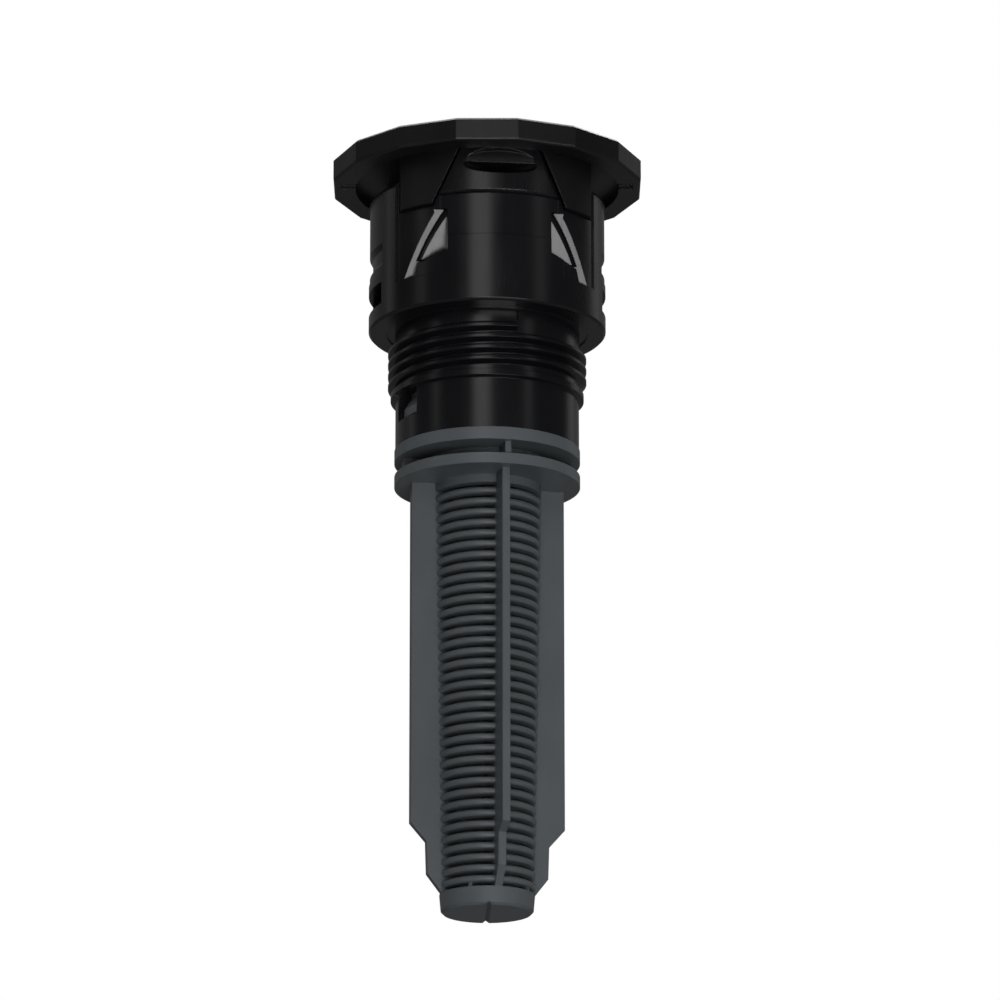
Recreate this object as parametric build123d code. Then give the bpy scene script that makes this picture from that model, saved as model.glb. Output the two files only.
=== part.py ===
"""Male-threaded spray nozzle with a finned filter screen, as it fits a pop-up sprinkler riser.

Frame: millimetres, +Z up along the nozzle's axis. The origin lies on the axis in the plane of the
flat shoulder that seats on the riser. Angles are clock angles in degrees, counted from the front
(-Y) towards +X. Every part is written to parts/NAME.step.
"""

from build123d import *
import math
import os

# ---------------------------------------------------------------- driving dimensions

# Male thread, 5/8-28 UN
THREAD_MAJOR_D = 15.875
THREAD_PITCH = 25.4 / 28
THREAD_RELIEF = 1.05            # plain neck between shoulder and thread
THREAD_LENGTH = 4.05
THREAD_START_ANGLE = 11.4       # clock angle of the upper thread end
THREAD_CREST = 0.24             # flat on the crest
THREAD_ROOT_FLAT = 0.06         # flat at the root
THREAD_SINK = 0.05              # how far the ridge starts below the root

# Body: sleeve above the shoulder, collar and skirt below it
SLEEVE_R = 9.5
SLEEVE_WALL = 0.45
SLEEVE_STEP_DEPTH = 0.35        # the wall is this much thicker below the step in the bore
SLEEVE_STEP_Z = 3.95
SLEEVE_TOP = 10.9
SLEEVE_FLOOR = 2.0
SLEEVE_EDGE_ROUND = 0.4
SHOULDER_CHAMFER = 0.18
UNDERCUT_WIDTH = 0.12           # shallow groove in the shoulder, just outside the thread
UNDERCUT_DEPTH = 0.12
KEY_HALF_ANGLE = 24.0           # inner ribs at both sides that key the flow core
KEY_DEPTH = 0.7
COLLAR_R = 7.72
COLLAR_LENGTH = 0.5
COLLAR_TAPER = 0.12             # height of the cone between collar and skirt
SKIRT_R = 7.33
SKIRT_WALL = 1.03
SKIRT_END = -9.79

# Front and rear windows: a leaning flat cut into the sleeve at each side of a round pillar
WINDOW_LOW_Z = 2.5
WINDOW_TOP = 7.8
WINDOW_LOW_ANGLE = 52.0
WINDOW_LEAN = 3.1               # degrees of clock angle lost per mm of height
WINDOW_FLAT_LEAN = 0.4          # mm that the flat comes forward per mm of height
FACET_PROUD = 0.15              # core's flat in front of the sleeve's flat
PILLAR_HALF_ANGLE = 25.8
PILLAR_TOP = 8.9
PILLAR_FACE_DROP = 0.1          # pillar face below the sleeve's surface
PILLAR_FACE_LOW = 5.5
PILLAR_FACE_MARGIN = 4.0        # degrees that this cut runs past the pillar
SLOT_FOOT_ANGLE = 44.0
SLOT_KNEE_ANGLE = 41.7
SLOT_KNEE_Z = 3.57
SILL_Z = 4.34

# Cap
FLANGE_SIDES = 16
FLANGE_FLATS = 24.7             # across flats
FLANGE_LOW = 12.26
FLANGE_THICK = 1.9
FLANGE_CLOCK = -6.65            # clock angle of the facet next to the front
FLANGE_CHAMFER = 0.2
FLANGE_ROUND = 0.25             # lower outer edge
RECESS_R = 10.6                 # underside recess, outer radius
RECESS_DEPTH = 0.75
MARK_IN_R = 10.05
MARK_OUT_R = 11.8
MARK_WIDTH = 1.4
MARK_DEPTH = 0.4
MARK_ANGLE = 84.8
NECK_R = 8.0
CAP_WALL = 1.2
BOSS_R = 4.1
DISH_IN_R = 5.6                 # shallow dish in the cap's top face
DISH_OUT_R = 10.2
DISH_DEPTH = 0.4
POINTER_LENGTH = 2.4
POINTER_WIDTH = 1.6
POINTER_RIM_GAP = 0.6
LEG_LOW = 8.23
LEG_OUTER_ANGLE = 53.3
LEG_PROUD = 0.35                # leg's face in front of the sleeve
LEG_THICK = 0.8

# Details on the sleeve
LEG_POCKET_ANGLE = 57.0
LEG_POCKET_DROP = 0.12
LEG_POCKET_SIDE = 0.5           # degrees of room outside the leg
LEG_POCKET_OPEN = 1.0           # degrees that the notch opens into the window at its foot
LEG_POCKET_OPEN_TOP = 3.0
SIDE_FLAT_ANGLE = 68.0
SIDE_FLAT_DROP = 0.07
SCALLOP_DROP = 0.33
SCALLOP_LOW = 3.9
SCALLOP_TOP = 7.0
SCALLOP_SLOPE = 1.03
PORT_HALF_ANGLE = 21.0
PORT_LOW = 1.33
PORT_TOP = 3.13
PORT_DEPTH = 2.15

# Spray inserts
INSERT_SETBACK = 0.08           # insert's face behind the sleeve
INSERT_BACK_R = 5.4
INSERT_CHAMFER = 0.28
MOUTH_HALF_WIDTH = 4.07
MOUTH_HALF_HEIGHT = 1.15
MOUTH_CENTRE_Z = 11.83
MOUTH_REACH = 0.6               # mouth's widest section, in front of the insert's face
DEFLECTOR_LOW_Z = 11.55         # leaning wall in the mouth that throws the fan outwards
DEFLECTOR_DEPTH = 0.4           # its foot behind the insert's face
DEFLECTOR_LEAN = 0.06           # mm that it comes forward per mm of height
INSERT_SIDE_GAP = 0.2
THROAT_R = 0.55
THROAT_Z = 10.7
FEED_R = 0.8
FEED_CENTRE_R = 6.6

# Flow core
CORE_TOP = 9.3
CHAMBER_R = 2.9
CHAMBER_MOUTH_R = 3.4
CHAMBER_MOUTH_Z = 8.2
SPIGOT_LOW = -3.9
GUIDE_LOW = -8.8
GUIDE_WALL = 0.75
GUIDE_OPEN_ENDS = 0.8           # key slots stop this far below the seat
DUCT_Z = 6.0
CORE_SEAL_Z = -1.2
CORE_SEAL_CORD_R = 0.34
GUIDE_SLOT_WIDTH = 1.8

# Adjusting screw, 6-32, and what it moves
SCREW_R = 1.75
SCREW_PITCH = 25.4 / 32
SCREW_HEAD_R = 2.9
SCREW_HEAD_TOP = 13.45
SCREW_HEAD_THICK = 0.95
SCREW_LOW = -9.2
SCREW_SLOT_WIDTH = 0.8
SCREW_SLOT_DEPTH = 0.6
SCREW_SLOT_ANGLE = 35.0
SCREW_HEAD_CHAMFER = 0.2
SCREW_POINT = 0.35
SCREW_SEAL_CORD_R = 0.52
RETAINER_R = 2.9
RETAINER_THICK = 0.5
RETAINER_TOP = 9.15
RETAINER_GROOVE = 0.35
RETAINER_MOUTH = 1.6
SEAT_R = 3.5
SEAT_HOLE_R = 2.5
SEAT_TOP = -1.5
SEAT_LOW = -3.0
SEAT_BEVEL = 0.5
PLUG_R = 3.3
PLUG_TIP_R = 2.35
PLUG_CONE = 1.1
PLUG_BODY = 1.7
PLUG_TRAVEL_TURNS = 3.5
PLUG_EAR_WIDTH = 1.6
PLUG_EAR_DROP = 0.3             # ears end this far below the cone
PLUG_SEAT_GAP = 0.1

# Filter screen
RING_R = 7.4
RING_THICK = 1.0
RING_GAP = 1.1
LOWER_RING_THICK = 0.86
RING_NECK_R = 5.0
RING_WEB_R = 6.9
RING_WEB_THICK = 0.48
FILTER_NECK_TOP = -5.2
FILTER_NECK_WALL = 0.85
FILTER_BORE_R = 4.1
FUNNEL_END = 0.3                # above the lower ring, where the bore's funnel ends
FUNNEL_TOP = 0.4                # above the upper ring's top, where the bore widens again
FUNNEL_RISE = 0.4
FIN_CLOCK = 7.35
FIN_COUNT = 4
FIN_THICK = 0.62
FIN_R = 6.22
FIN_LOW = -40.37                # fins at the sides
FRONT_FIN_LOW = -41.2           # fins at the front and rear
TIER_R = 4.94
TIER_TAPER = 0.08
TIER_TOP = -41.82
TIER_LOW = -44.37
FIN_FOOT_R = 3.66
FIN_FOOT = -45.92
SCREEN_TOP_R = 4.3
SCREEN_LOW_R = 3.75
SCREEN_WALL = 0.9
SLIT_FIRST = -13.6
SLIT_LAST = -45.67
SLIT_COUNT = 38
SLIT_HEIGHT = 0.36
RIB_CROWN = 0.18
FILTER_END = -47.3
END_R = 3.64
END_FLOOR = 0.95
END_BEVEL = 0.2
END_GROOVE_DEPTH = 0.25
END_GROOVE_WIDTH = 0.5
END_GROOVE_CLOCK = -4.7
STRUT_OFFSET = -36.0
STRUT_WIDTH = 0.3
STRUT_DEPTH = 0.35
STRUT_SETBACK = 0.25            # strut's outer face behind the screen's surface
LUG_CLOCK = -68.65
LUG_HALF_ANGLE = 10.0
LUG_REACH = 0.72
LUG_TOP = -5.75
LUG_LOW = -7.6
LUG_LAND = 0.7                  # upright part of the lug's face
SNAP_HALF_ANGLE = 12.5
SNAP_TOP = -5.57
SNAP_LOW = -7.87
SNAP_LEAD_ANGLE = 0.5           # degrees of extra room at each side of the lead-in groove

# Fits
RUN_GAP = 0.05                  # turning and sliding fits, radial
SEAT_GAP = 0.05                 # between moulded parts that are pushed together
CORE_GAP = 0.12                 # flow core to sleeve bore
GUIDE_GAP = 0.3                 # guide tube inside the filter's neck
SLIP_GAP = 0.1                  # filter neck and plug ears
LEAD_GAP = 0.06                 # lug to its lead-in groove
SEAL_GAP = 0.02                 # core seal to the bore it seals

# Cutting and joining
CLEAR = 1.0                     # how far a cutter runs past the surface it cuts
JOIN = 0.15                     # how far a piece runs into the one that it is joined to

# ---------------------------------------------------------------- derived sizes

THREAD_R = THREAD_MAJOR_D / 2
THREAD_ROOT_R = THREAD_R - 0.6134 * THREAD_PITCH
THREAD_TOP = -THREAD_RELIEF
COLLAR_TOP = THREAD_TOP - THREAD_LENGTH
COLLAR_LOW = COLLAR_TOP - COLLAR_LENGTH
SLEEVE_BORE_R = SLEEVE_R - SLEEVE_WALL
STEP_BORE_R = SLEEVE_BORE_R - SLEEVE_STEP_DEPTH
LEG_FACE_R = SLEEVE_R + LEG_PROUD
INSERT_FACE_R = SLEEVE_R - INSERT_SETBACK
BODY_BORE_R = SKIRT_R - SKIRT_WALL
FLANGE_TOP = FLANGE_LOW + FLANGE_THICK
WINDOW_FLAT_DEPTH = SLEEVE_R * math.cos(math.radians(WINDOW_LOW_ANGLE))
KEY_R = SLEEVE_BORE_R - KEY_DEPTH
CAP_LOW = CORE_TOP + SEAT_GAP
CAP_TUBE_R = KEY_R - SEAT_GAP
CORE_R = SLEEVE_BORE_R - CORE_GAP
CORE_STEP_R = STEP_BORE_R - SEAT_GAP
SPIGOT_R = BODY_BORE_R - SEAT_GAP
INSERT_LOW = PILLAR_TOP + SEAT_GAP
RECESS_CEILING = FLANGE_LOW + RECESS_DEPTH
INSERT_TOP = RECESS_CEILING - SEAT_GAP
SCREW_HEAD_LOW = SCREW_HEAD_TOP - SCREW_HEAD_THICK
SCREW_BORE_R = SCREW_R + RUN_GAP
HEAD_POCKET_R = SCREW_HEAD_R + SLIP_GAP
PLUG_TRAVEL = PLUG_TRAVEL_TURNS * SCREW_PITCH
PLUG_TOP = SEAT_LOW - PLUG_SEAT_GAP - PLUG_TRAVEL
PLUG_LOW = PLUG_TOP - PLUG_CONE - PLUG_BODY
FILTER_NECK_R = BODY_BORE_R - SLIP_GAP
FILTER_NECK_BORE_R = FILTER_NECK_R - FILTER_NECK_WALL
GUIDE_OUTER_R = FILTER_NECK_BORE_R - GUIDE_GAP
GUIDE_INNER_R = GUIDE_OUTER_R - GUIDE_WALL
RING_TOP = SKIRT_END
RING_LOW = RING_TOP - RING_THICK
LOWER_RING_TOP = RING_LOW - RING_GAP
LOWER_RING_LOW = LOWER_RING_TOP - LOWER_RING_THICK
SLIT_PITCH = (SLIT_FIRST - SLIT_LAST) / (SLIT_COUNT - 1)


# ---------------------------------------------------------------- helpers

def clock(radius, angle, z=0.0):
    """Point at a clock angle: 0 is the front (-Y), 90 is +X."""
    turn = math.radians(angle)
    return (radius * math.sin(turn), -radius * math.cos(turn), z)


def radial_plane(angle, radius=0.0):
    """Plane that faces outwards at a clock angle; its x runs clockwise and its y runs up."""
    return Plane(origin=clock(radius, angle), x_dir=clock(1, angle + 90), z_dir=clock(1, angle))


def section_plane(angle):
    """Plane through the axis at a clock angle; its x is the radius and its y is the height."""
    return Plane(origin=(0, 0, 0), x_dir=clock(1, angle), z_dir=clock(1, angle - 90))


def turned(points):
    """Solid turned from a closed outline of (radius, height) points."""
    return revolve(Plane.XZ * make_face(Polyline(*points, close=True)), Axis.Z)


def tube(outer, inner, low, top):
    """Plain ring between two heights."""
    return turned([(inner, low), (outer, low), (outer, top), (inner, top)])


def rod(radius, low, top):
    """Plain round bar between two heights."""
    return Pos(0, 0, low) * extrude(Circle(radius), top - low)


def sector(outer, inner, start, end, low, top):
    """Piece of a ring between two clock angles."""
    flat = Plane(origin=(0, 0, 0), x_dir=clock(1, start), z_dir=clock(1, start - 90))
    outline = Polyline((inner, low), (outer, low), (outer, top), (inner, top), close=True)
    return revolve(flat * make_face(outline), Axis.Z, end - start)


def punch(angle, outline, near, far):
    """Straight prism driven along a radius. The outline holds (clock angle, height) points as
    they fall on the sleeve's surface."""
    flat = [(SLEEVE_R * math.sin(math.radians(a - angle)), z) for a, z in outline]
    face = radial_plane(angle, near) * make_face(Polyline(*flat, close=True))
    return extrude(face, far - near)


def around(shape, angles):
    """Copies of a shape turned about the axis."""
    return [Rot(0, 0, a) * shape for a in angles]


def mirrored(shape):
    """Shape and its mirror image across the front-to-rear plane."""
    return [shape, mirror(shape, Plane.YZ)]


def edge_angle(z):
    """Clock angle of the windows' outer edge at a height."""
    return WINDOW_LOW_ANGLE - WINDOW_LEAN * (z - WINDOW_LOW_Z)


def torus_ring(centre_r, cord_r, z):
    """O-ring."""
    return Pos(0, 0, z) * Torus(centre_r, cord_r)


# ---------------------------------------------------------------- body

def male_thread():
    """Right-hand 60-degree thread ridge, to be joined to the root cylinder."""
    root_r = THREAD_ROOT_R - THREAD_SINK
    half_root = (THREAD_PITCH - THREAD_ROOT_FLAT) / 2
    low = COLLAR_TOP + half_root
    height = THREAD_TOP - half_root - low
    turns = height / THREAD_PITCH
    spine = Helix(pitch=THREAD_PITCH, height=height, radius=THREAD_ROOT_R)
    profile = Plane.XZ * make_face(Polyline(
        (root_r, -half_root),
        (THREAD_R, -THREAD_CREST / 2),
        (THREAD_R, THREAD_CREST / 2),
        (root_r, half_root),
        close=True))
    ridge = sweep(profile, path=spine, is_frenet=True)
    start = THREAD_START_ANGLE - 90 - 360 * turns
    return Pos(0, 0, low) * Rot(0, 0, start) * ridge


def window_cut(proud=0.0):
    """What the leaning flat takes away right of the front pillar, above the sill."""
    rise = WINDOW_TOP - WINDOW_LOW_Z
    low = WINDOW_FLAT_DEPTH + proud
    high = low + WINDOW_FLAT_LEAN * rise
    front = SLEEVE_R + CLEAR
    wedge = extrude(Plane.YZ * make_face(Polyline(
        (-front, WINDOW_LOW_Z),
        (-low, WINDOW_LOW_Z),
        (-high, WINDOW_TOP),
        (-front, WINDOW_TOP),
        close=True)), SLEEVE_R, both=True)
    outline = [
        (PILLAR_HALF_ANGLE, SILL_Z),
        (SLOT_KNEE_ANGLE, SLOT_KNEE_Z),
        (SLOT_FOOT_ANGLE, WINDOW_LOW_Z),
        (90, WINDOW_LOW_Z),
        (90, WINDOW_TOP),
        (PILLAR_HALF_ANGLE, WINDOW_TOP),
    ]
    return wedge & punch(0, outline, 0, front)


def insert_outline(low, top, gap=0.0):
    """Trapezoid between the two window edges, for the insert and its seat."""
    lean = math.degrees(gap / SLEEVE_R)
    return [
        (-edge_angle(low) + lean, low),
        (edge_angle(low) - lean, low),
        (edge_angle(top) - lean, top),
        (-edge_angle(top) + lean, top),
    ]


def nozzle_body():
    outside = [
        (BODY_BORE_R, SKIRT_END),
        (SKIRT_R, SKIRT_END),
        (SKIRT_R, COLLAR_LOW - COLLAR_TAPER),
        (COLLAR_R, COLLAR_LOW),
        (COLLAR_R, COLLAR_TOP),
        (THREAD_ROOT_R, COLLAR_TOP),
        (THREAD_ROOT_R, UNDERCUT_DEPTH),
        (THREAD_R + UNDERCUT_WIDTH, UNDERCUT_DEPTH),
        (THREAD_R + UNDERCUT_WIDTH, 0),
        (SLEEVE_R - SHOULDER_CHAMFER, 0),
        (SLEEVE_R, SHOULDER_CHAMFER),
        (SLEEVE_R, SLEEVE_TOP),
        (SLEEVE_BORE_R, SLEEVE_TOP),
        (SLEEVE_BORE_R, SLEEVE_STEP_Z),
        (STEP_BORE_R, SLEEVE_STEP_Z),
        (STEP_BORE_R, SLEEVE_FLOOR),
        (BODY_BORE_R, SLEEVE_FLOOR),
    ]
    body = turned(outside)
    rim = body.edges().filter_by(GeomType.CIRCLE).group_by(Axis.Z)[-1].sort_by(SortBy.RADIUS)[-1]
    body = fillet(rim, SLEEVE_EDGE_ROUND)
    body += male_thread()
    for middle in (90, -90):
        body += key_sector(SLEEVE_BORE_R + JOIN, KEY_R, middle, 0, SLEEVE_FLOOR - JOIN, CAP_LOW)

    cuts = []
    for turn in (0, 180):
        half = mirrored(window_cut())
        seat = punch(0, insert_outline(PILLAR_TOP, SLEEVE_TOP + CLEAR), INSERT_BACK_R,
                     SLEEVE_R + CLEAR)
        face = sector(SLEEVE_R + CLEAR, SLEEVE_R - PILLAR_FACE_DROP,
                      -PILLAR_HALF_ANGLE - PILLAR_FACE_MARGIN,
                      PILLAR_HALF_ANGLE + PILLAR_FACE_MARGIN, PILLAR_FACE_LOW, PILLAR_TOP + JOIN)
        pocket = leg_pocket()
        cuts += around(half[0], [turn]) + around(half[1], [turn])
        cuts += around(seat, [turn]) + around(face, [turn])
        cuts += around(pocket, [turn]) + around(mirror(pocket, Plane.YZ), [turn])
    cuts += around(side_relief(), [0, 180])
    cuts += [snap_window(LUG_CLOCK), snap_window(LUG_CLOCK + 180)]
    for cut in cuts:
        body -= cut
    return body


def key_sector(outer, inner, middle, gap, low, top):
    """Key rib between sleeve and flow core, or with a gap the room for it."""
    half = KEY_HALF_ANGLE + math.degrees(gap / KEY_R)
    return sector(outer, inner - gap, middle - half, middle + half, low, top)


def leg_pocket():
    """Notch in the sleeve that a cap leg drops into, with a shallow run-out below it."""
    front = SLEEVE_R + CLEAR
    top = SLEEVE_TOP + CLEAR
    outer = LEG_OUTER_ANGLE + LEG_POCKET_SIDE
    deep = punch(0, [
        (edge_angle(LEG_LOW) - LEG_POCKET_OPEN, LEG_LOW - SEAT_GAP),
        (outer, LEG_LOW - SEAT_GAP),
        (outer, top),
        (edge_angle(SLEEVE_TOP) - LEG_POCKET_OPEN_TOP, top),
    ], 0, front) & tube(front, KEY_R, LEG_LOW - CLEAR, top)
    shallow = sector(front, SLEEVE_R - LEG_POCKET_DROP, edge_angle(LEG_LOW) - LEG_POCKET_OPEN,
                     LEG_POCKET_ANGLE, WINDOW_LOW_Z, top)
    return deep + shallow


def side_relief():
    """Flat, scallop and port at the right-hand side."""
    start = SIDE_FLAT_ANGLE
    end = 180 - SIDE_FLAT_ANGLE
    flat_r = SLEEVE_R - SIDE_FLAT_DROP
    front = SLEEVE_R + CLEAR
    relief = sector(front, flat_r, start, end, SCALLOP_LOW, SLEEVE_TOP - SLEEVE_EDGE_ROUND)
    depth = SLEEVE_R - SCALLOP_DROP
    groove = revolve(section_plane(start) * make_face(Polyline(
        (front, SCALLOP_LOW - SCALLOP_SLOPE),
        (depth, SCALLOP_LOW + SCALLOP_SLOPE),
        (depth, SCALLOP_TOP - SCALLOP_SLOPE),
        (front, SCALLOP_TOP + SCALLOP_SLOPE),
        close=True)), Axis.Z, end - start)
    port = punch(90, [
        (90 - PORT_HALF_ANGLE, PORT_LOW),
        (90 + PORT_HALF_ANGLE, PORT_LOW),
        (90 + PORT_HALF_ANGLE, PORT_TOP),
        (90 - PORT_HALF_ANGLE, PORT_TOP),
    ], SLEEVE_R - PORT_DEPTH, front)
    return relief + groove + port


def snap_window(angle):
    """Window in the skirt with the lead-in groove for the filter's lug."""
    inside = BODY_BORE_R - CLEAR
    window = sector(SKIRT_R + CLEAR, inside, angle - SNAP_HALF_ANGLE, angle + SNAP_HALF_ANGLE,
                    SNAP_LOW, SNAP_TOP)
    half = LUG_HALF_ANGLE + math.degrees(LEAD_GAP / SKIRT_R) + SNAP_LEAD_ANGLE
    lead = sector(FILTER_NECK_R + LUG_REACH + LEAD_GAP, inside, angle - half, angle + half,
                  SKIRT_END - CLEAR, SNAP_LOW + JOIN)
    return window + lead


# ---------------------------------------------------------------- cap

def cap_leg():
    """Locking leg right of the front window."""
    outline = [
        (edge_angle(LEG_LOW), LEG_LOW),
        (LEG_OUTER_ANGLE, LEG_LOW),
        (LEG_OUTER_ANGLE, RECESS_CEILING),
        (edge_angle(RECESS_CEILING), RECESS_CEILING),
    ]
    shell = tube(LEG_FACE_R, LEG_FACE_R - LEG_THICK, LEG_LOW, RECESS_CEILING)
    prism = punch(0, outline, 0, LEG_FACE_R + CLEAR)
    bridge = sector(LEG_FACE_R, NECK_R - JOIN, edge_angle(SLEEVE_TOP), LEG_OUTER_ANGLE,
                    SLEEVE_TOP + SEAT_GAP, RECESS_CEILING)
    return (prism & shell) + (prism & bridge)


def flange_cap():
    side = FLANGE_FLATS / 2 / math.cos(math.pi / FLANGE_SIDES)
    plate = extrude(RegularPolygon(side, FLANGE_SIDES, rotation=FLANGE_CLOCK - 90 + 180 / FLANGE_SIDES),
                    FLANGE_THICK)
    plate = Pos(0, 0, FLANGE_LOW) * plate
    plate = chamfer(plate.edges().group_by(Axis.Z)[-1], FLANGE_CHAMFER)
    plate = fillet(plate.edges().group_by(Axis.Z)[0], FLANGE_ROUND)
    cap = plate - tube(RECESS_R, NECK_R, FLANGE_LOW - CLEAR, RECESS_CEILING)
    cap += tube(NECK_R, NECK_R - CAP_WALL, SLEEVE_TOP - JOIN, FLANGE_LOW + JOIN)
    cap += tube(CAP_TUBE_R, NECK_R - CAP_WALL, CAP_LOW, SLEEVE_TOP)
    cap += rod(BOSS_R, CAP_LOW, FLANGE_LOW + JOIN)
    for turn in (0, 180):
        for leg in mirrored(cap_leg()):
            cap += Rot(0, 0, turn) * leg

    for turn in (0, 180):
        seat = punch(0, insert_outline(CAP_LOW - CLEAR, RECESS_CEILING), INSERT_BACK_R - SEAT_GAP,
                     SLEEVE_R)
        cap -= Rot(0, 0, turn) * seat
    cap -= tube(DISH_OUT_R, DISH_IN_R, FLANGE_TOP - DISH_DEPTH, FLANGE_TOP + CLEAR)
    cap -= rod(HEAD_POCKET_R, SCREW_HEAD_LOW, FLANGE_TOP + CLEAR)
    cap -= rod(SCREW_BORE_R, CAP_LOW - CLEAR, FLANGE_TOP)
    cap -= rod(seal_gland_r(), seal_gland_low(), SCREW_HEAD_LOW + JOIN)
    for angle in (MARK_ANGLE, -MARK_ANGLE):
        cap -= index_mark(angle + FLANGE_CLOCK)
    for angle in (0, 180):
        cap += spray_pointer(angle)
    return cap


def seal_gland_r():
    return SCREW_R + 2 * SCREW_SEAL_CORD_R + 2 * RUN_GAP


def seal_gland_low():
    return SCREW_HEAD_LOW - 2 * SCREW_SEAL_CORD_R - 2 * RUN_GAP


def index_mark(angle):
    """Shallow radial groove in the underside of the rim."""
    groove = Box(MARK_WIDTH, MARK_OUT_R - MARK_IN_R, 2 * MARK_DEPTH)
    middle = (MARK_OUT_R + MARK_IN_R) / 2
    return Pos(*clock(middle, angle, FLANGE_LOW)) * Rot(0, 0, angle) * groove


def spray_pointer(angle):
    """Raised arrowhead in the dish that shows which way the nozzle sprays."""
    tip = DISH_OUT_R - POINTER_RIM_GAP
    outline = Polyline((-POINTER_WIDTH / 2, -(tip - POINTER_LENGTH)), (0, -tip),
                       (POINTER_WIDTH / 2, -(tip - POINTER_LENGTH)), close=True)
    arrow = Pos(0, 0, FLANGE_TOP - DISH_DEPTH - JOIN) * extrude(make_face(outline), DISH_DEPTH)
    return Rot(0, 0, angle) * arrow


# ---------------------------------------------------------------- inserts and flow core

def spray_insert():
    """Front insert: trapezoid block whose fan-shaped outlet has a leaning wall above its slot."""
    block = punch(0, insert_outline(INSERT_LOW, INSERT_TOP, gap=INSERT_SIDE_GAP), INSERT_BACK_R,
                  SLEEVE_R + CLEAR)
    block &= rod(INSERT_FACE_R, INSERT_LOW, INSERT_TOP)
    block -= turned([
        (INSERT_FACE_R - INSERT_CHAMFER - JOIN, INSERT_LOW - JOIN),
        (INSERT_FACE_R + JOIN, INSERT_LOW - JOIN),
        (INSERT_FACE_R + JOIN, INSERT_LOW + INSERT_CHAMFER + JOIN),
    ])
    wide = radial_plane(0, INSERT_FACE_R + MOUTH_REACH) * Pos(0, MOUTH_CENTRE_Z) * Ellipse(
        MOUTH_HALF_WIDTH, MOUTH_HALF_HEIGHT)
    narrow = radial_plane(0, FEED_CENTRE_R) * Pos(0, THROAT_Z) * Circle(THROAT_R)
    block -= loft([narrow, wide]) - deflector()
    block -= Pos(*clock(FEED_CENTRE_R, 0)) * rod(FEED_R, INSERT_LOW - CLEAR, THROAT_Z)
    return block


def deflector():
    """What stays of the insert behind the leaning wall in its mouth."""
    foot = INSERT_FACE_R - DEFLECTOR_DEPTH
    top = INSERT_TOP + CLEAR
    outline = Polyline(
        (0, DEFLECTOR_LOW_Z),
        (-foot, DEFLECTOR_LOW_Z),
        (-foot - DEFLECTOR_LEAN * (top - DEFLECTOR_LOW_Z), top),
        (0, top),
        close=True)
    return extrude(Plane.YZ * make_face(outline), SLEEVE_R, both=True)


def flow_core():
    core = turned([
        (CHAMBER_R, SEAT_TOP),
        (SEAT_R + SEAT_GAP, SEAT_TOP),
        (SEAT_R + SEAT_GAP, SEAT_LOW),
        (GUIDE_INNER_R, SEAT_LOW),
        (GUIDE_INNER_R, GUIDE_LOW),
        (GUIDE_OUTER_R, GUIDE_LOW),
        (GUIDE_OUTER_R, SPIGOT_LOW),
        (SPIGOT_R, SPIGOT_LOW),
        (SPIGOT_R, SLEEVE_FLOOR + SEAT_GAP),
        (CORE_STEP_R, SLEEVE_FLOOR + SEAT_GAP),
        (CORE_STEP_R, SLEEVE_STEP_Z + SEAT_GAP),
        (CORE_R, SLEEVE_STEP_Z + SEAT_GAP),
        (CORE_R, CORE_TOP),
        (CHAMBER_MOUTH_R, CORE_TOP),
        (CHAMBER_MOUTH_R, CHAMBER_MOUTH_Z),
        (CHAMBER_R, CHAMBER_MOUTH_Z),
    ])
    gland_half = CORE_SEAL_CORD_R + 2 * SEAT_GAP
    core -= tube(SPIGOT_R + CLEAR, core_seal_centre_r() - CORE_SEAL_CORD_R - SEAT_GAP,
                 CORE_SEAL_Z - gland_half, CORE_SEAL_Z + gland_half)
    for turn in (0, 180):
        for cut in mirrored(window_cut(FACET_PROUD)):
            core -= Rot(0, 0, turn) * cut
        core -= Rot(0, 0, turn) * punch(0, insert_outline(PILLAR_TOP, CORE_TOP + CLEAR),
                                        INSERT_BACK_R - SEAT_GAP, SLEEVE_R + CLEAR)
        core -= Rot(0, 0, turn) * Pos(*clock(FEED_CENTRE_R, 0)) * rod(FEED_R, DUCT_Z, CORE_TOP)
        duct = radial_plane(turn) * Pos(0, DUCT_Z) * Circle(FEED_R)
        core -= extrude(duct, FEED_CENTRE_R)
    for middle in (90, -90):
        core -= key_sector(CORE_R + CLEAR, KEY_R, middle, SEAT_GAP, SLEEVE_FLOOR - CLEAR,
                           CORE_TOP + CLEAR)
    key_slot = Box(GUIDE_SLOT_WIDTH, 2 * (GUIDE_OUTER_R + CLEAR), SEAT_LOW - GUIDE_OPEN_ENDS - GUIDE_LOW,
                   align=(Align.CENTER, Align.CENTER, Align.MIN))
    return core - Pos(0, 0, GUIDE_LOW) * key_slot


def core_seal_centre_r():
    return BODY_BORE_R - CORE_SEAL_CORD_R - SEAL_GAP


def core_seal():
    return torus_ring(core_seal_centre_r(), CORE_SEAL_CORD_R, CORE_SEAL_Z)


def throttle_seat():
    return turned([
        (SEAT_HOLE_R, SEAT_LOW + SEAT_BEVEL),
        (SEAT_HOLE_R + SEAT_BEVEL, SEAT_LOW),
        (SEAT_R, SEAT_LOW),
        (SEAT_R, SEAT_TOP - SEAT_GAP),
        (SEAT_HOLE_R, SEAT_TOP - SEAT_GAP),
    ])


# ---------------------------------------------------------------- screw and plug

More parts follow.
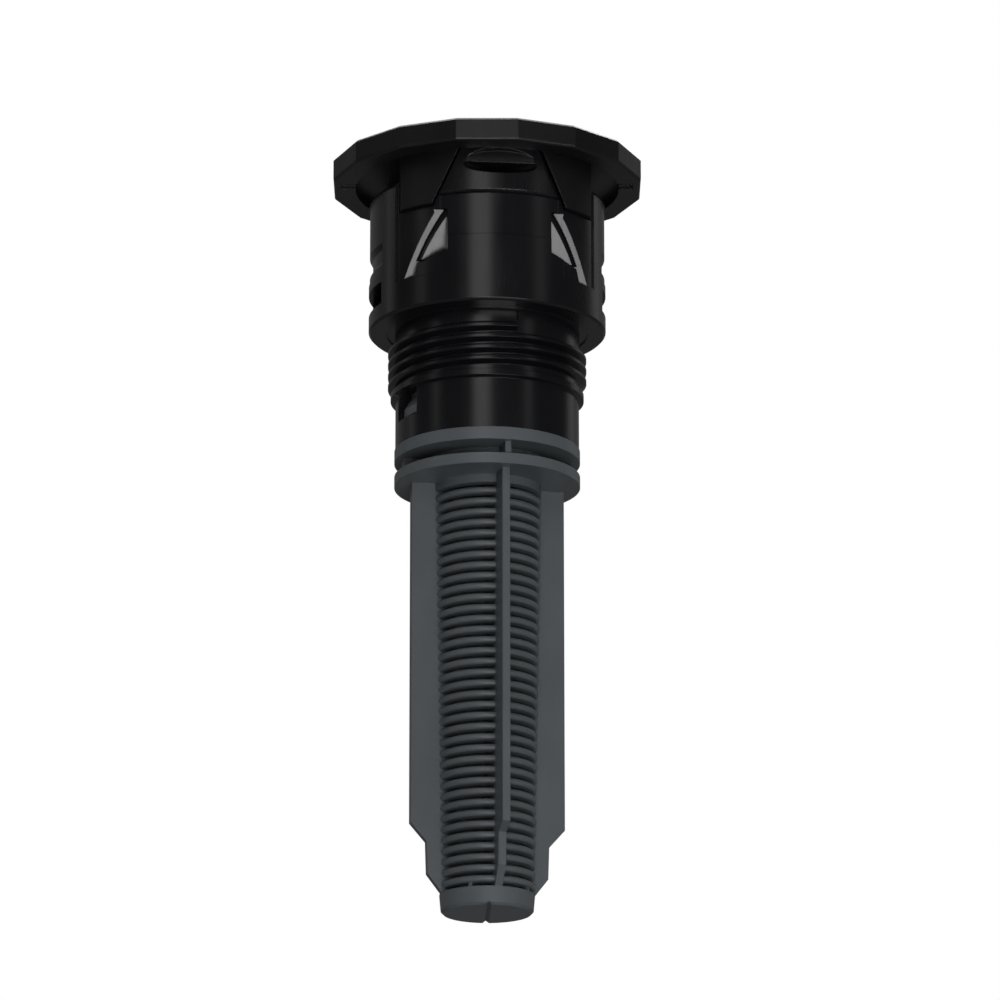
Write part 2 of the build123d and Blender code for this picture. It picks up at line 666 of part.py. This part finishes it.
def radius_screw():
    screw = rod(SCREW_R, SCREW_LOW, SCREW_HEAD_LOW + JOIN)
    head = rod(SCREW_HEAD_R, SCREW_HEAD_LOW, SCREW_HEAD_TOP)
    screw += chamfer(head.edges().group_by(Axis.Z)[-1], SCREW_HEAD_CHAMFER)
    screw = chamfer(screw.edges().group_by(Axis.Z)[0], SCREW_POINT)
    slot = Box(2 * (SCREW_HEAD_R + CLEAR), SCREW_SLOT_WIDTH, SCREW_SLOT_DEPTH,
               align=(Align.CENTER, Align.CENTER, Align.MAX))
    screw -= Pos(0, 0, SCREW_HEAD_TOP) * Rot(0, 0, SCREW_SLOT_ANGLE) * slot
    groove_low = RETAINER_TOP - RETAINER_THICK - RUN_GAP
    screw -= tube(SCREW_R + CLEAR, SCREW_R - RETAINER_GROOVE, groove_low, RETAINER_TOP + RUN_GAP)
    return screw


def screw_retainer():
    """Push-on ring with an open side, sprung into the screw's groove."""
    ring = tube(RETAINER_R, SCREW_R - RETAINER_GROOVE + RUN_GAP, RETAINER_TOP - RETAINER_THICK,
                RETAINER_TOP)
    mouth = Box(RETAINER_MOUTH, RETAINER_R + CLEAR, 2 * (RETAINER_THICK + CLEAR),
                align=(Align.CENTER, Align.MAX, Align.CENTER))
    return ring - Pos(0, 0, RETAINER_TOP) * mouth


def screw_seal():
    centre = SCREW_R + RUN_GAP + SCREW_SEAL_CORD_R
    return torus_ring(centre, SCREW_SEAL_CORD_R, SCREW_HEAD_LOW - SCREW_SEAL_CORD_R - RUN_GAP)


def throttle_plug():
    """Plug with a sealing cone and two ears that keep it from turning with the screw."""
    shoulder = PLUG_TOP - PLUG_CONE
    plug = turned([
        (SCREW_BORE_R, PLUG_LOW),
        (PLUG_R, PLUG_LOW),
        (PLUG_R, shoulder),
        (PLUG_TIP_R, PLUG_TOP),
        (SCREW_BORE_R, PLUG_TOP),
    ])
    ear_r = GUIDE_OUTER_R - SLIP_GAP
    ears = Box(PLUG_EAR_WIDTH, 2 * ear_r, PLUG_BODY - PLUG_EAR_DROP,
               align=(Align.CENTER, Align.CENTER, Align.MIN))
    ears = (Pos(0, 0, PLUG_LOW) * ears) & rod(ear_r, PLUG_LOW, shoulder)
    return plug + (ears - rod(SCREW_BORE_R, PLUG_LOW - CLEAR, shoulder + CLEAR))


# ---------------------------------------------------------------- filter

def screen_r(z):
    """Outer radius of the slotted screen at a height."""
    drop = (SLIT_FIRST - z) / (SLIT_FIRST - SLIT_LAST)
    return SCREEN_TOP_R + (SCREEN_LOW_R - SCREEN_TOP_R) * drop


def screen_rib(z):
    """One rounded ring of the screen."""
    half = (SLIT_PITCH - SLIT_HEIGHT) / 2
    outer = screen_r(z)
    inner = outer - SCREEN_WALL
    outline = [
        Line((outer - RIB_CROWN, z + half), (inner, z + half)),
        Line((inner, z + half), (inner, z - half)),
        Line((inner, z - half), (outer - RIB_CROWN, z - half)),
        ThreePointArc((outer - RIB_CROWN, z - half), (outer, z), (outer - RIB_CROWN, z + half)),
    ]
    return revolve(Plane.XZ * make_face(outline), Axis.Z)


def filter_fin(angle, low):
    """One fin, from the axis out and from the lower ring down to the closed end."""
    outline = Polyline(
        (0, LOWER_RING_LOW + JOIN),
        (FIN_R, LOWER_RING_LOW + JOIN),
        (FIN_R, low),
        (TIER_R, TIER_TOP),
        (TIER_R - TIER_TAPER, TIER_LOW),
        (FIN_FOOT_R, FIN_FOOT),
        (0, FIN_FOOT),
        close=True)
    face = section_plane(angle) * make_face(outline)
    return extrude(face, FIN_THICK / 2, both=True)


def filter_screen():
    bore = SCREEN_TOP_R - SCREEN_WALL
    first_low = SLIT_FIRST + SLIT_HEIGHT / 2
    last_low = SLIT_LAST - SLIT_HEIGHT / 2
    head = turned([
        (FILTER_NECK_BORE_R, FILTER_NECK_TOP),
        (FILTER_NECK_R, FILTER_NECK_TOP),
        (FILTER_NECK_R, RING_TOP),
        (RING_R, RING_TOP),
        (RING_R, RING_LOW),
        (RING_NECK_R, RING_LOW),
        (RING_NECK_R, LOWER_RING_TOP),
        (RING_R, LOWER_RING_TOP),
        (RING_R, LOWER_RING_LOW),
        (SCREEN_TOP_R, LOWER_RING_LOW),
        (SCREEN_TOP_R, first_low),
        (bore, first_low),
        (bore, LOWER_RING_TOP + FUNNEL_END),
        (FILTER_BORE_R, RING_LOW),
        (FILTER_BORE_R, RING_TOP + FUNNEL_TOP),
        (FILTER_NECK_BORE_R, RING_TOP + FUNNEL_TOP + FUNNEL_RISE),
    ])
    foot = turned([
        (0, FILTER_END),
        (END_R - END_BEVEL, FILTER_END),
        (END_R, FILTER_END + END_BEVEL),
        (SCREEN_LOW_R, last_low),
        (SCREEN_LOW_R - SCREEN_WALL, last_low),
        (SCREEN_LOW_R - SCREEN_WALL, FILTER_END + END_FLOOR),
        (0, FILTER_END + END_FLOOR),
    ])
    pieces = [foot]
    pieces += [screen_rib(SLIT_FIRST - SLIT_PITCH * (i + 0.5)) for i in range(SLIT_COUNT - 1)]
    for i in range(FIN_COUNT):
        angle = FIN_CLOCK + 360 / FIN_COUNT * i
        pieces.append(filter_fin(angle, FIN_LOW if i % 2 else FRONT_FIN_LOW))
        pieces.append(ring_web(angle))
        pieces.append(slit_strut(angle + STRUT_OFFSET, last_low))
    pieces += [filter_lug(LUG_CLOCK), filter_lug(LUG_CLOCK + 180)]
    screen = head.fuse(*pieces)
    return screen - end_groove()


def ring_web(angle):
    """Web between the two rings, in line with a fin."""
    face = section_plane(angle) * make_face(Polyline(
        (RING_NECK_R - JOIN, LOWER_RING_TOP - JOIN),
        (RING_WEB_R, LOWER_RING_TOP - JOIN),
        (RING_WEB_R, RING_LOW + JOIN),
        (RING_NECK_R - JOIN, RING_LOW + JOIN),
        close=True))
    return extrude(face, RING_WEB_THICK / 2, both=True)


def slit_strut(angle, low):
    """Small upright that stiffens the lowest slit."""
    middle = SCREEN_LOW_R - STRUT_SETBACK - STRUT_DEPTH / 2
    strut = Box(STRUT_WIDTH, STRUT_DEPTH, SLIT_HEIGHT + 2 * JOIN)
    return Pos(*clock(middle, angle, low + SLIT_HEIGHT / 2)) * Rot(0, 0, angle) * strut


def filter_lug(angle):
    """Snap lug with a sloped top that lies in the skirt's window."""
    outline = Polyline(
        (FILTER_NECK_R - JOIN, LUG_LOW),
        (FILTER_NECK_R + LUG_REACH, LUG_LOW),
        (FILTER_NECK_R + LUG_REACH, LUG_LOW + LUG_LAND),
        (FILTER_NECK_R, LUG_TOP),
        (FILTER_NECK_R - JOIN, LUG_TOP),
        close=True)
    face = section_plane(angle - LUG_HALF_ANGLE) * make_face(outline)
    return revolve(face, Axis.Z, 2 * LUG_HALF_ANGLE)


def end_groove():
    """Shallow V across the closed end."""
    half = END_GROOVE_WIDTH / 2
    outline = Polyline((-half, FILTER_END - CLEAR), (-half, FILTER_END),
                       (0, FILTER_END + END_GROOVE_DEPTH), (half, FILTER_END),
                       (half, FILTER_END - CLEAR), close=True)
    face = radial_plane(END_GROOVE_CLOCK) * make_face(outline)
    return extrude(face, END_R + CLEAR, both=True)


# ---------------------------------------------------------------- output

def build_all():
    front = spray_insert()
    return {
        "nozzle_body": nozzle_body(),
        "flange_cap": flange_cap(),
        "spray_insert_front": front,
        "spray_insert_rear": Rot(0, 0, 180) * front,
        "flow_core": flow_core(),
        "core_seal": core_seal(),
        "throttle_seat": throttle_seat(),
        "radius_screw": radius_screw(),
        "screw_retainer": screw_retainer(),
        "screw_seal": screw_seal(),
        "throttle_plug": throttle_plug(),
        "filter_screen": filter_screen(),
    }


def main():
    os.makedirs("parts", exist_ok=True)
    for name, shape in build_all().items():
        export_step(shape, os.path.join("parts", name + ".step"))
        print(f"{name}: {len(shape.solids())} solid(s), {shape.volume:.2f} mm3")


if __name__ == "__main__":
    main()
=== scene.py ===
"""Looks of the pop-up sprinkler's spray nozzle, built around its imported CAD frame.

Everything is in metres and in the CAD's frame: +Z up along the nozzle's axis, -Y towards the
front window, origin on the axis in the plane of the shoulder.
"""

import math

import bmesh
import bpy
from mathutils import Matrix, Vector


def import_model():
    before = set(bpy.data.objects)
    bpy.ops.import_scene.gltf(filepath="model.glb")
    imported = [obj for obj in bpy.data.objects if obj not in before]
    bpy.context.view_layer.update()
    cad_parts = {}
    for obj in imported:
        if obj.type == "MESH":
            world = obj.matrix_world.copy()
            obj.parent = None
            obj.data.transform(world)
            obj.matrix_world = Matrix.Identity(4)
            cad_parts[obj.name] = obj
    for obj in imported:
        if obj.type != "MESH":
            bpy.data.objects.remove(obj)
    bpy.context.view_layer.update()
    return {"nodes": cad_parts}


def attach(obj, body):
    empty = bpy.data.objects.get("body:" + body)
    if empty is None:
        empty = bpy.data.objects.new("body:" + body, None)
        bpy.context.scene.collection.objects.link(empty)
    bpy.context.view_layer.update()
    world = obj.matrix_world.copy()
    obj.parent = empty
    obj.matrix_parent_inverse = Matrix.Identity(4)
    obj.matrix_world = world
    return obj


MM = 0.001

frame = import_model()


# ---------------------------------------------------------------- shader helpers

NOISE_ROUGHNESS = 0.55
NOISE_CORE = (0.3, 0.7)         # a noise's values mostly lie between these two
BEVEL_SAMPLES = 4


def grey(level):
    """Opaque grey of one linear level."""
    return (level, level, level, 1)


class Tree:
    """Short calls for building a material's or a world's node tree from empty."""

    def __init__(self, owner):
        owner.use_nodes = True
        self.tree = owner.node_tree
        self.tree.nodes.clear()

    def node(self, kind, **settings):
        made = self.tree.nodes.new(kind)
        for key, value in settings.items():
            setattr(made, key, value)
        return made

    def link(self, source, target):
        self.tree.links.new(source, target)

    def split(self, vector):
        """The X, Y and Z sockets of a vector."""
        made = self.node("ShaderNodeSeparateXYZ")
        self.link(vector, made.inputs[0])
        return made.outputs

    def spread(self, value, low, high, out_low, out_high, **settings):
        """Clamped remap, linear unless the settings say otherwise."""
        made = self.node("ShaderNodeMapRange", clamp=True, **settings)
        for name, number in (("From Min", low), ("From Max", high), ("To Min", out_low),
                             ("To Max", out_high)):
            made.inputs[name].default_value = number
        self.link(value, made.inputs["Value"])
        return made.outputs["Result"]

    def math(self, operation, a, b=0.0):
        made = self.node("ShaderNodeMath", operation=operation)
        for socket, value in zip(made.inputs, (a, b)):
            if isinstance(value, (int, float)):
                socket.default_value = value
            else:
                self.link(value, socket)
        return made.outputs[0]

    def choose(self, factor, a, b):
        """Shader a where the factor is 0, shader b where it is 1."""
        made = self.node("ShaderNodeMixShader")
        for socket, source in zip(made.inputs, (factor, a, b)):
            self.link(source, socket)
        return made.outputs[0]

    def rays(self, *names):
        """1 for rays of any of the named kinds, such as "Is Camera Ray"."""
        path = self.node("ShaderNodeLightPath")
        total = path.outputs[names[0]]
        for name in names[1:]:
            total = self.math("MAXIMUM", total, path.outputs[name])
        return total

    def background(self, level):
        made = self.node("ShaderNodeBackground")
        made.inputs["Color"].default_value = grey(level)
        return made


class Graph(Tree):
    """Node tree of one material with a Principled shader."""

    def __init__(self, name):
        self.material = bpy.data.materials.new(name)
        super().__init__(self.material)
        output = self.node("ShaderNodeOutputMaterial")
        self.shader = self.node("ShaderNodeBsdfPrincipled")
        self.link(self.shader.outputs["BSDF"], output.inputs["Surface"])
        self.coords = self.node("ShaderNodeTexCoord").outputs["Object"]

    def noise(self, cells, detail, distortion=0.0):
        """Noise with so many cells per metre along X, Y and Z."""
        mapping = self.node("ShaderNodeMapping")
        mapping.inputs["Scale"].default_value = cells
        self.link(self.coords, mapping.inputs["Vector"])
        made = self.node("ShaderNodeTexNoise")
        made.inputs["Scale"].default_value = 1.0
        made.inputs["Detail"].default_value = detail
        made.inputs["Roughness"].default_value = NOISE_ROUGHNESS
        made.inputs["Distortion"].default_value = distortion
        self.link(mapping.outputs["Vector"], made.inputs["Vector"])
        return made.outputs["Fac"]

    def mix(self, factor, a, b):
        """Colour a turned towards colour b by a 0-1 factor."""
        made = self.node("ShaderNodeMix", data_type="RGBA")
        self.link(factor, made.inputs["Factor"])
        for socket, value in ((made.inputs[6], a), (made.inputs[7], b)):
            if isinstance(value, tuple):
                socket.default_value = (*value, 1.0)
            else:
                self.link(value, socket)
        return made.outputs[2]

    def bump(self, height, depth, after=None):
        """Bump of a real depth in metres, on top of an earlier bump."""
        made = self.node("ShaderNodeBump")
        made.inputs["Strength"].default_value = 1.0
        made.inputs["Distance"].default_value = depth
        self.link(height, made.inputs["Height"])
        if after is not None:
            self.link(after, made.inputs["Normal"])
        return made.outputs["Normal"]

    def rounded(self, radius):
        """Normal that rounds sharp edges by a radius in metres."""
        made = self.node("ShaderNodeBevel", samples=BEVEL_SAMPLES)
        made.inputs["Radius"].default_value = radius
        return made.outputs["Normal"]

    def finish(self, colour, roughness, normal, **fixed):
        """Link what varies over the surface, and set the constants on the shader itself."""
        self.link(colour, self.shader.inputs["Base Color"])
        self.link(roughness, self.shader.inputs["Roughness"])
        self.link(normal, self.shader.inputs["Normal"])
        for name, value in fixed.items():
            self.shader.inputs[name].default_value = value
        return self.material


# ---------------------------------------------------------------- moulded plastic

CLOUD_CELLS = (180, 180, 120)           # slow drift of colour and gloss
STREAK_CELLS = (2600, 2600, 60)         # fine lines along the axis
GRAIN_CELLS = (9000, 9000, 9000)
WAVE_CELLS = (420, 420, 260)            # sink and orange peel
HAIR_CELLS = (700, 700, 60)             # hair scratches
HAIR_DISTORTION = 0.5
HAIR_WIDTH = 0.006                      # in the noise's own values
HAIR_PATCHES = (0.52, 0.62)             # a scratch fades in over these values of the cloud
HAIR_STRENGTH = 0.16
HAIR_ROUGHENING = 0.2
HAIR_DEPTH = 0.003 * MM
WORN_GAIN, WORN_LIFT = 1.35, 0.012      # colour of a scratch, from the tint
CLOUD_SHARE, STREAK_SHARE = 0.6, 0.4    # of the roughness range
EDGE_RADIUS = 0.09 * MM
PLASTIC_IOR = 1.49


def moulded(name, colour, tint, rough, depths):
    """Moulded plastic.

    colour and tint are the two ends of its slow colour drift, and rough the two ends of its
    roughness. depths are in mm: of its fine grain, of its slow sink and orange peel, and of the
    fine lines that the tool's polishing leaves along the axis.
    """
    grain, wave, draw = (MM * depth for depth in depths)
    g = Graph(name)
    cloud = g.noise(CLOUD_CELLS, detail=4.0)
    streak = g.noise(STREAK_CELLS, detail=2.0)
    fine = g.noise(GRAIN_CELLS, detail=2.0)
    slow = g.noise(WAVE_CELLS, detail=1.0)

    # A few hair scratches: thin crossings of a stretched, distorted noise, broken up by the cloud
    thread = g.noise(HAIR_CELLS, detail=0.0, distortion=HAIR_DISTORTION)
    ridge = g.math("ABSOLUTE", g.math("SUBTRACT", thread, 0.5))
    hair = g.math("MULTIPLY", g.spread(ridge, 0.0, HAIR_WIDTH, 1.0, 0.0),
                  g.spread(cloud, *HAIR_PATCHES, 0.0, HAIR_STRENGTH))

    base = g.mix(g.spread(cloud, *NOISE_CORE, 0.0, 1.0), colour, tint)
    base = g.mix(hair, base, tuple(min(1.0, c * WORN_GAIN + WORN_LIFT) for c in tint))

    smoothest, roughest = rough
    span = roughest - smoothest
    level = g.math("ADD",
                   g.spread(cloud, *NOISE_CORE, smoothest, smoothest + CLOUD_SHARE * span),
                   g.spread(streak, *NOISE_CORE, 0.0, STREAK_SHARE * span))
    level = g.math("ADD", level, g.math("MULTIPLY", hair, HAIR_ROUGHENING))

    normal = g.bump(slow, wave, g.rounded(EDGE_RADIUS))
    normal = g.bump(streak, draw, normal)
    normal = g.bump(fine, grain, normal)
    normal = g.bump(g.math("MULTIPLY", hair, -1.0), HAIR_DEPTH, normal)
    return g.finish(base, level, normal, IOR=PLASTIC_IOR)


# Slot: colour, tint, roughness range, then the depths in mm of grain, wave and draw lines
MOULDINGS = {
    "black_moulding": ((0.0048, 0.0049, 0.006), (0.0068, 0.007, 0.0084), (0.2, 0.3),
                       (0.0008, 0.006, 0.0012)),
    "cap_moulding": ((0.0044, 0.0044, 0.0047), (0.0064, 0.0064, 0.0066), (0.34, 0.46),
                     (0.002, 0.005, 0.0006)),
    "insert_moulding": ((0.0052, 0.0052, 0.0064), (0.0074, 0.0074, 0.0087), (0.22, 0.32),
                        (0.0008, 0.004, 0.0008)),
    "core_moulding": ((0.0062, 0.0063, 0.0074), (0.009, 0.009, 0.0102), (0.18, 0.26),
                      (0.0006, 0.003, 0.0008)),
    "grey_moulding": ((0.083, 0.095, 0.104), (0.1, 0.112, 0.121), (0.34, 0.46),
                      (0.0012, 0.006, 0.0012)),
    "seat_moulding": ((0.68, 0.67, 0.62), (0.72, 0.71, 0.67), (0.25, 0.35),
                      (0.001, 0.003, 0.0005)),
    "plug_moulding": ((0.7, 0.69, 0.65), (0.75, 0.74, 0.7), (0.25, 0.35),
                      (0.001, 0.003, 0.0005)),
}


# ---------------------------------------------------------------- rubber and steel

RUBBER_CLOUD_CELLS = (700, 700, 700)
RUBBER_GRAIN_CELLS = (15000, 15000, 15000)
RUBBER_COLOURS = (0.012, 0.012, 0.012), (0.03, 0.03, 0.029)
RUBBER_BLOOM = (0.4, 0.75)              # the bloom fades in over these values of the cloud
RUBBER_ROUGHNESS = (0.5, 0.68)
RUBBER_GRAIN_DEPTH = 0.003 * MM
RUBBER_IOR = 1.5

STEEL_CLOUD_CELLS = (600, 600, 600)
STEEL_GRAIN_CELLS = (12000, 12000, 12000)
STEEL_COLOURS = (0.56, 0.56, 0.55), (0.63, 0.62, 0.6)
STEEL_DRIFT = (0.35, 0.65)              # the colour drifts over these values of the cloud
STEEL_ROUGHNESS = (0.24, 0.34)
STEEL_GRAIN_ROUGHENING = 0.06
RING_PITCH = 0.06 * MM
RING_DEPTH = 0.0012 * MM


def rubber(name):
    """Black nitrile rubber with a faint bloom."""
    g = Graph(name)
    cloud = g.noise(RUBBER_CLOUD_CELLS, detail=4.0)
    fine = g.noise(RUBBER_GRAIN_CELLS, detail=1.0)
    base = g.mix(g.spread(cloud, *RUBBER_BLOOM, 0.0, 1.0), *RUBBER_COLOURS)
    level = g.spread(cloud, *NOISE_CORE, *RUBBER_ROUGHNESS)
    return g.finish(base, level, g.bump(fine, RUBBER_GRAIN_DEPTH), IOR=RUBBER_IOR)


def turned_steel(name):
    """Stainless steel with the fine rings that turning leaves."""
    g = Graph(name)
    x, y, z = g.split(g.coords)
    square = g.math("ADD", g.math("MULTIPLY", x, x), g.math("MULTIPLY", y, y))
    along = g.math("ADD", g.math("SQRT", square), z)
    rings = g.math("SINE", g.math("MULTIPLY", along, 2 * math.pi / RING_PITCH))
    cloud = g.noise(STEEL_CLOUD_CELLS, detail=3.0)
    fine = g.noise(STEEL_GRAIN_CELLS, detail=1.0)
    base = g.mix(g.spread(cloud, *STEEL_DRIFT, 0.0, 1.0), *STEEL_COLOURS)
    level = g.math("ADD", g.spread(cloud, *NOISE_CORE, *STEEL_ROUGHNESS),
                   g.spread(fine, *NOISE_CORE, 0.0, STEEL_GRAIN_ROUGHENING))
    return g.finish(base, level, g.bump(rings, RING_DEPTH), Metallic=1.0, Anisotropic=0.4)


MATERIALS = {slot: moulded(slot, *look) for slot, look in MOULDINGS.items()}
MATERIALS["seal_rubber"] = rubber("seal_rubber")
MATERIALS["stainless"] = turned_steel("stainless")

for node in frame["nodes"].values():
    for index, material in enumerate(node.data.materials):
        node.material_slots[index].material = MATERIALS[material.name.split(".")[0]]


# ---------------------------------------------------------------- marks that moulding leaves

NECK_R = 7.38
PARTING_CLOCK = 12.9                    # degrees from the front to the parting line
FLASH_LOW, FLASH_TOP = -0.95, -0.12
FLASH_PROUD = 0.16
FLASH_WIDTH = 0.3                       # at its foot
FLASH_SINK = 0.05                       # of its foot below the surface
FLASH_NARROWING = 3                     # its crest is narrower than its foot by this factor
CORNERS = 4                             # points in each section of a ridge


def piece(name, vertices, faces, body, slot):
    """Mesh in the CAD's frame, given in mm, that rides on a body."""
    mesh = bpy.data.meshes.new(name)
    mesh.from_pydata([tuple(MM * c for c in v) for v in vertices], [], faces)
    shell = bmesh.new()
    shell.from_mesh(mesh)
    bmesh.ops.recalc_face_normals(shell, faces=shell.faces)
    shell.to_mesh(mesh)
    shell.free()
    mesh.materials.append(MATERIALS[slot])
    made = bpy.data.objects.new(name, mesh)
    bpy.context.scene.collection.objects.link(made)
    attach(made, body)


def on_axis(radius, clock, z):
    """Point at a radius, a clock angle (0 is the front, 90 is +X) and a height."""
    turn = math.radians(clock)
    return (radius * math.sin(turn), -radius * math.cos(turn), z)


def flash(name, clock, body, slot):
    """Thin upright ridge of flash at a parting line, sunk a little into the neck it stands on."""
    half = math.degrees(FLASH_WIDTH / 2 / NECK_R)
    crest = half / FLASH_NARROWING
    sunk = NECK_R - FLASH_SINK
    points = []
    for z, out in ((FLASH_LOW, 0.0), (FLASH_LOW + FLASH_PROUD, FLASH_PROUD),
                   (FLASH_TOP - FLASH_PROUD, FLASH_PROUD), (FLASH_TOP, 0.0)):
        points += [on_axis(sunk, clock - half, z), on_axis(NECK_R + out, clock - crest, z),
                   on_axis(NECK_R + out, clock + crest, z), on_axis(sunk, clock + half, z)]
    last = len(points) - CORNERS
    faces = [tuple(range(CORNERS)), tuple(reversed(range(last, last + CORNERS)))]
    for level in range(0, last, CORNERS):
        for side in range(CORNERS):
            a, b = level + side, level + (side + 1) % CORNERS
            faces.append((b, a, a + CORNERS, b + CORNERS))
    piece(name, points, faces, body, slot)


for side in (0, 180):
    flash(f"neck_flash_{side}", PARTING_CLOCK + side, "nozzle", "black_moulding")


# ---------------------------------------------------------------- stage

FLOOR_Z = -0.45
FLOOR_REACH = 5.0
FLOOR_PAPER = 0.12                      # what the lights see
FLOOR_GLOW = 0.9                        # what the camera sees
FLOOR_SHINE = 0.035                     # share of the glow that reflections see

ROOM = 0.36                             # what lights the part evenly
BACKDROP = 0.8
BACKDROP_EDGES = (0.3, 0.8)             # from the sides towards straight behind the part
BACKDROP_STRENGTHS = (0.05, 0.17)

CAMERA_YAW = math.radians(-6.65)
CAMERA_TILT = math.radians(90 + 16.035)
CAMERA_AWAY = 470 * MM                  # level distance from the axis
CAMERA_Z = -148.784 * MM

# Name, clock angle, elevation, distance, width, height, radiance
LIGHTS = (
    ("key", 7, -32, 0.8, 0.66, 0.44, 6.2),
    ("window_middle", -13, 24, 1.0, 0.34, 0.6, 1.4),
    ("window_right", 46, 20, 1.0, 0.16, 0.5, 0.45),
    ("window_left", -74, 20, 1.0, 0.16, 0.5, 0.4),
    ("far_left", -116, 20, 1.0, 0.2, 0.5, 0.3),
    ("far_right", 123, 20, 1.0, 0.3, 0.5, 0.3),
    ("top", 200, 70, 0.9, 0.5, 0.5, 2.0),
    ("rear", 165, 48, 0.9, 0.6, 0.4, 5.0),
)


def camera():
    """Long lens, in front and a little left, looking up at the part."""
    data = bpy.data.cameras.new("camera")
    data.sensor_width = 36
    data.lens = 221.4
    data.shift_x = 0.01285
    data.clip_start, data.clip_end = 0.01, 20
    made = bpy.data.objects.new("camera", data)
    bpy.context.scene.collection.objects.link(made)
    made.location = (CAMERA_AWAY * math.sin(CAMERA_YAW), -CAMERA_AWAY * math.cos(CAMERA_YAW),
                     CAMERA_Z)
    made.rotation_euler = (CAMERA_TILT, 0, CAMERA_YAW)
    bpy.context.scene.camera = made


def world():
    """White to the camera, and an even grey room to everything that scatters light.

    Reflections see a dim room instead, a little lighter behind the part than in front of it.
    """
    made = bpy.data.worlds.new("studio")
    bpy.context.scene.world = made
    t = Tree(made)
    output = t.node("ShaderNodeOutputWorld")
    behind = t.split(t.node("ShaderNodeTexCoord").outputs["Generated"])["Y"]
    drop = t.background(BACKDROP)
    t.link(t.spread(behind, *BACKDROP_EDGES, *BACKDROP_STRENGTHS, interpolation_type="SMOOTHSTEP"),
           drop.inputs["Strength"])
    seen = t.rays("Is Camera Ray", "Is Glossy Ray", "Is Transmission Ray")
    shown = t.choose(seen, t.background(ROOM).outputs[0], drop.outputs[0])
    shown = t.choose(t.rays("Is Camera Ray"), shown, t.background(1).outputs[0])
    t.link(shown, output.inputs["Surface"])


def floor():
    """Pale floor. The camera sees it near white, with the object's shadow on it."""
    mesh = bpy.data.meshes.new("floor")
    mesh.from_pydata([(x * FLOOR_REACH, y * FLOOR_REACH, FLOOR_Z)
                      for x, y in ((-1, -1), (1, -1), (1, 1), (-1, 1))], [], [(0, 1, 2, 3)])
    made = bpy.data.objects.new("floor", mesh)
    bpy.context.scene.collection.objects.link(made)
    material = bpy.data.materials.new("floor_paper")
    t = Tree(material)
    output = t.node("ShaderNodeOutputMaterial")
    paper = t.node("ShaderNodeBsdfDiffuse")
    paper.inputs["Color"].default_value = grey(FLOOR_PAPER)
    glow = t.node("ShaderNodeEmission")
    glow.inputs["Color"].default_value = grey(FLOOR_GLOW)
    shine = t.spread(t.rays("Is Camera Ray"), 0.0, 1.0, FLOOR_SHINE, 1.0)
    seen = t.rays("Is Camera Ray", "Is Glossy Ray", "Is Transmission Ray")
    t.link(t.math("MULTIPLY", seen, shine), glow.inputs["Strength"])
    both = t.node("ShaderNodeAddShader")
    t.link(paper.outputs[0], both.inputs[0])
    t.link(glow.outputs[0], both.inputs[1])
    t.link(both.outputs[0], output.inputs["Surface"])
    mesh.materials.append(material)


def direction(clock, elevation):
    """Unit vector at a clock angle (0 is the front, 90 is +X) and an elevation, in degrees."""
    a, e = math.radians(clock), math.radians(elevation)
    return Vector((math.sin(a) * math.cos(e), -math.cos(a) * math.cos(e), math.sin(e)))


def softbox(name, clock, elevation, distance, width, height, radiance):
    """Area light that faces the origin. Its radiance is what a mirror would show of it."""
    data = bpy.data.lights.new(name, "AREA")
    data.shape = "RECTANGLE"
    data.size, data.size_y = width, height
    data.energy = radiance * math.pi * width * height
    lamp = bpy.data.objects.new(name, data)
    bpy.context.scene.collection.objects.link(lamp)
    away = direction(clock, elevation)
    lamp.location = away * distance
    lamp.rotation_euler = (-away).to_track_quat("-Z", "Y").to_euler()


camera()
world()
floor()
for light in LIGHTS:
    softbox(*light)

bpy.context.scene.view_settings.view_transform = "Standard"
